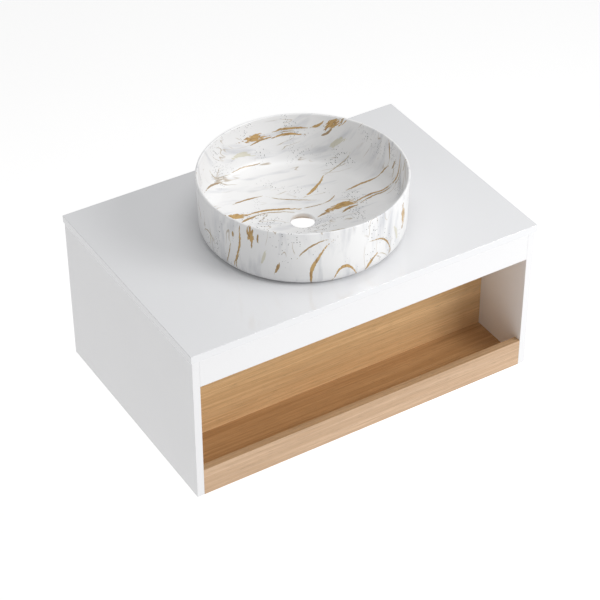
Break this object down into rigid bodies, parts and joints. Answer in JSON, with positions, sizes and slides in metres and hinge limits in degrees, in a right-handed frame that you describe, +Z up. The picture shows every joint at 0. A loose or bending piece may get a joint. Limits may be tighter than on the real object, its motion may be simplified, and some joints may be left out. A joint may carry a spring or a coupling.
{
  "type": "wall-hung vanity with vessel basin",
  "caption": "Wall-hung white bathroom vanity with an open oak shelf, a round marbled vessel basin on its countertop and hidden adjustable wall hangers.",
  "frame": {"origin": "on the wall plane, on the cabinet's centreline, level with the cabinet's underside", "axes": "+X to the right as seen from the room, +Y into the wall, +Z up"},
  "size_m": [0.75, 0.5, 0.456],
  "materials": {
    "gloss_white": "polished gloss",
    "marbled_glaze": "gloss glaze, marbled in gold and grey",
    "sealant": "satin",
    "lacquer_white": "satin lacquer",
    "board_white": "melamine",
    "oak": "matt veneer, straight grain",
    "oak_cap": "matt",
    "beech": "raw",
    "plain_steel": "plain",
    "zinc": "die cast",
    "passivated_steel": "yellow passivated",
    "pressed_steel": "zinc plated"
  },
  "bodies": {
    "cabinet": {"countertop": "gloss_white", "basin": "marbled_glaze", "sealant_bead": "sealant", "left_side_panel": "lacquer_white", "right_side_panel": "lacquer_white", "front_fascia": "lacquer_white", "front_stretcher": "board_white", "rear_stretcher": "board_white", "rear_rail": "board_white", "shelf_board": "oak", "shelf_lip": "oak", "shelf_back_panel": "oak", "cam_bolts": "plain_steel", "cam_nuts": "zinc", "cam_caps": "oak_cap", "dowels": "beech", "panel_screws": "plain_steel", "countertop_screws": "plain_steel", "hanger_fixing_screws": "zinc", "left_hanger_housing": "pressed_steel", "right_hanger_housing": "pressed_steel"},
    "left_height_screw_body": {"left_height_screw": "passivated_steel"},
    "left_carriage_body": {"left_hanger_carriage": "zinc"},
    "left_depth_screw_body": {"left_depth_screw": "passivated_steel"},
    "left_hook_body": {"left_hook": "pressed_steel", "left_wall_plate": "pressed_steel"},
    "right_height_screw_body": {"right_height_screw": "passivated_steel"},
    "right_carriage_body": {"right_hanger_carriage": "zinc"},
    "right_depth_screw_body": {"right_depth_screw": "passivated_steel"},
    "right_hook_body": {"right_hook": "pressed_steel", "right_wall_plate": "pressed_steel"}
  },
  "joints": [
    {"name": "left_height_turn", "type": "hinge", "parent": "cabinet", "child": "left_height_screw_body", "pos_m": [-0.338, -0.06, 0.249], "axis": [0, 0, 1], "range_deg": [-2160, 2160]},
    {"name": "left_height_slide", "type": "slide", "parent": "cabinet", "child": "left_carriage_body", "axis": [0, 0, 1], "range_m": [-0.006, 0.006]},
    {"name": "left_depth_turn", "type": "hinge", "parent": "left_carriage_body", "child": "left_depth_screw_body", "pos_m": [-0.349, -0.06, 0.249], "axis": [0, 1, 0], "range_deg": [-4320, 0]},
    {"name": "left_depth_slide", "type": "slide", "parent": "left_carriage_body", "child": "left_hook_body", "axis": [0, 1, 0], "range_m": [0, 0.012]},
    {"name": "right_height_turn", "type": "hinge", "parent": "cabinet", "child": "right_height_screw_body", "pos_m": [0.338, -0.06, 0.249], "axis": [0, 0, 1], "range_deg": [-2160, 2160]},
    {"name": "right_height_slide", "type": "slide", "parent": "cabinet", "child": "right_carriage_body", "axis": [0, 0, 1], "range_m": [-0.006, 0.006]},
    {"name": "right_depth_turn", "type": "hinge", "parent": "right_carriage_body", "child": "right_depth_screw_body", "pos_m": [0.349, -0.06, 0.249], "axis": [0, 1, 0], "range_deg": [-4320, 0]},
    {"name": "right_depth_slide", "type": "slide", "parent": "right_carriage_body", "child": "right_hook_body", "axis": [0, 1, 0], "range_m": [0, 0.012]}
  ],
  "couplings": [
    {"joint": "left_height_turn", "follows": "left_height_slide", "rad_per_m": -6283.2},
    {"joint": "left_depth_turn", "follows": "left_depth_slide", "rad_per_m": -6283.2},
    {"joint": "right_height_turn", "follows": "right_height_slide", "rad_per_m": -6283.2},
    {"joint": "right_depth_turn", "follows": "right_depth_slide", "rad_per_m": -6283.2}
  ]
}
